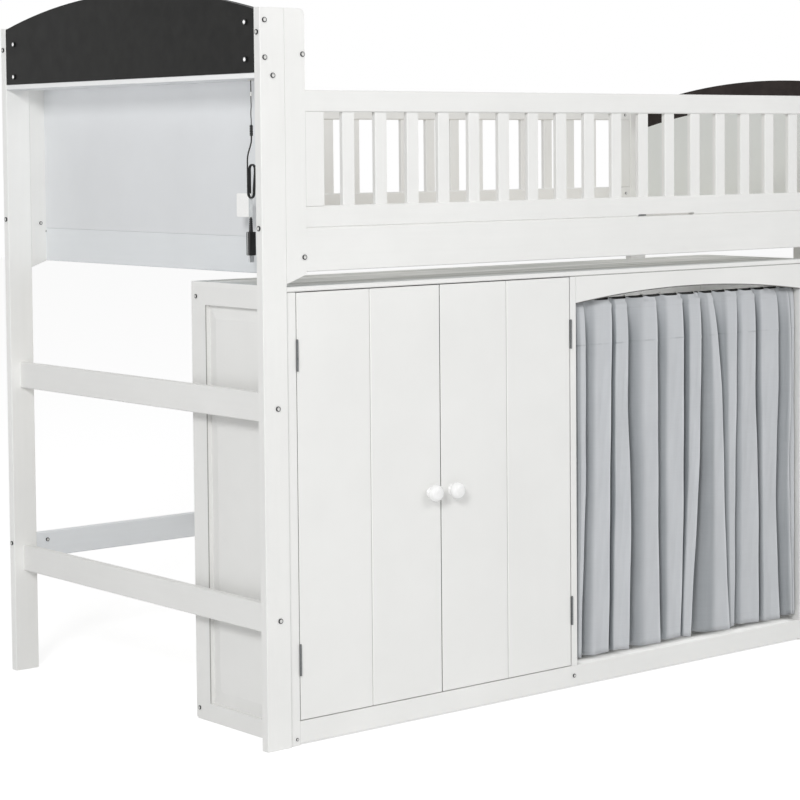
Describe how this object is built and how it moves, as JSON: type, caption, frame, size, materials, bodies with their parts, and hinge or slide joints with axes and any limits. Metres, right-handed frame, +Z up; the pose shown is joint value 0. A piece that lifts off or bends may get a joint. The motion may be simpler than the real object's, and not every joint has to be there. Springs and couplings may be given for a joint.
{
  "type": "loft bed",
  "caption": "Mid-height loft bed of painted wood with an arched headboard, guard rails, built-in ladder, and a cabinet below with hinged doors and a curtained bay.",
  "frame": {"origin": "middle of the footprint, on the floor", "axes": "+X from the head end to the foot end, +Y from the doors to the back, +Z up"},
  "size_m": [2.162, 1.087, 1.608],
  "materials": {
    "white_paint": "satin",
    "charcoal_paint": "satin",
    "curtain_cloth": "matte",
    "steel": "satin",
    "black_plastic": "satin",
    "pine_slats": "matte",
    "cabinet_top_paint": "satin",
    "knob_gloss": "gloss",
    "rod_paint": "satin",
    "hook_plastic": "gloss",
    "led_strip": "matte",
    "label": "matte"
  },
  "bodies": {
    "bed": {"head_front_post": "white_paint", "head_back_post": "white_paint", "head_wings": "white_paint", "head_top_panel": "charcoal_paint", "head_shelf": "white_paint", "head_inner_panel": "white_paint", "head_bottom_rail": "white_paint", "head_end_rails": "white_paint", "foot_front_post": "white_paint", "foot_back_post": "white_paint", "foot_top_panel": "charcoal_paint", "foot_inner_panel": "white_paint", "foot_end_rails": "white_paint", "front_side_rail": "white_paint", "back_side_rail": "white_paint", "back_lower_rail": "white_paint", "front_guard_rails": "white_paint", "front_guard_uprights": "white_paint", "back_guard_rails": "white_paint", "back_guard_uprights": "white_paint", "rail_plates": "steel", "deck_cleats": "white_paint", "deck_slats": "pine_slats", "ladder_stiles": "white_paint", "ladder_treads": "white_paint", "cabinet_top": "cabinet_top_paint", "cabinet_left_frame": "white_paint", "cabinet_left_panel": "white_paint", "cabinet_right_side": "white_paint", "cabinet_divider": "white_paint", "cabinet_floor": "white_paint", "cabinet_back": "white_paint", "cabinet_base_rail": "white_paint", "cabinet_arch_rail": "white_paint", "wardrobe_shelf": "white_paint", "hanging_rail": "steel", "cabinet_hinge_leaves": "steel", "hinge_pins": "steel", "curtain_rod": "rod_paint", "rod_brackets": "rod_paint", "left_curtain": "curtain_cloth", "right_curtain": "curtain_cloth", "left_curtain_hooks": "hook_plastic", "right_curtain_hooks": "hook_plastic", "led_strip": "led_strip", "cord_lead": "black_plastic", "cord_connectors": "black_plastic", "cord_cable": "black_plastic", "cord_hank": "black_plastic", "cord_tag": "label", "usb_plug": "black_plastic", "bolts": "steel"},
    "left_door": {"left_door": "white_paint", "left_knob": "knob_gloss", "left_hinge_leaves": "steel"},
    "right_door": {"right_door": "white_paint", "right_knob": "knob_gloss", "right_hinge_leaves": "steel"},
    "left_lead": {"left_lead_hook": "hook_plastic"},
    "right_lead": {"right_lead_hook": "hook_plastic"}
  },
  "joints": [
    {"name": "left_door_hinge", "type": "hinge", "parent": "bed", "child": "left_door", "pos_m": [-0.9905, -0.5162, 0.5], "axis": [0, 0, -1], "range_deg": [0, 165]},
    {"name": "right_door_hinge", "type": "hinge", "parent": "bed", "child": "right_door", "pos_m": [-0.2039, -0.5162, 0.5], "axis": [0, 0, 1], "range_deg": [0, 165]},
    {"name": "left_curtain_slide", "type": "slide", "parent": "bed", "child": "left_lead", "axis": [-1, 0, 0], "range_m": [0, 0.2978], "deforming": ["left_curtain", "left_curtain_hooks"]},
    {"name": "right_curtain_slide", "type": "slide", "parent": "bed", "child": "right_lead", "axis": [1, 0, 0], "range_m": [0, 0.243], "deforming": ["right_curtain", "right_curtain_hooks"]}
  ]
}
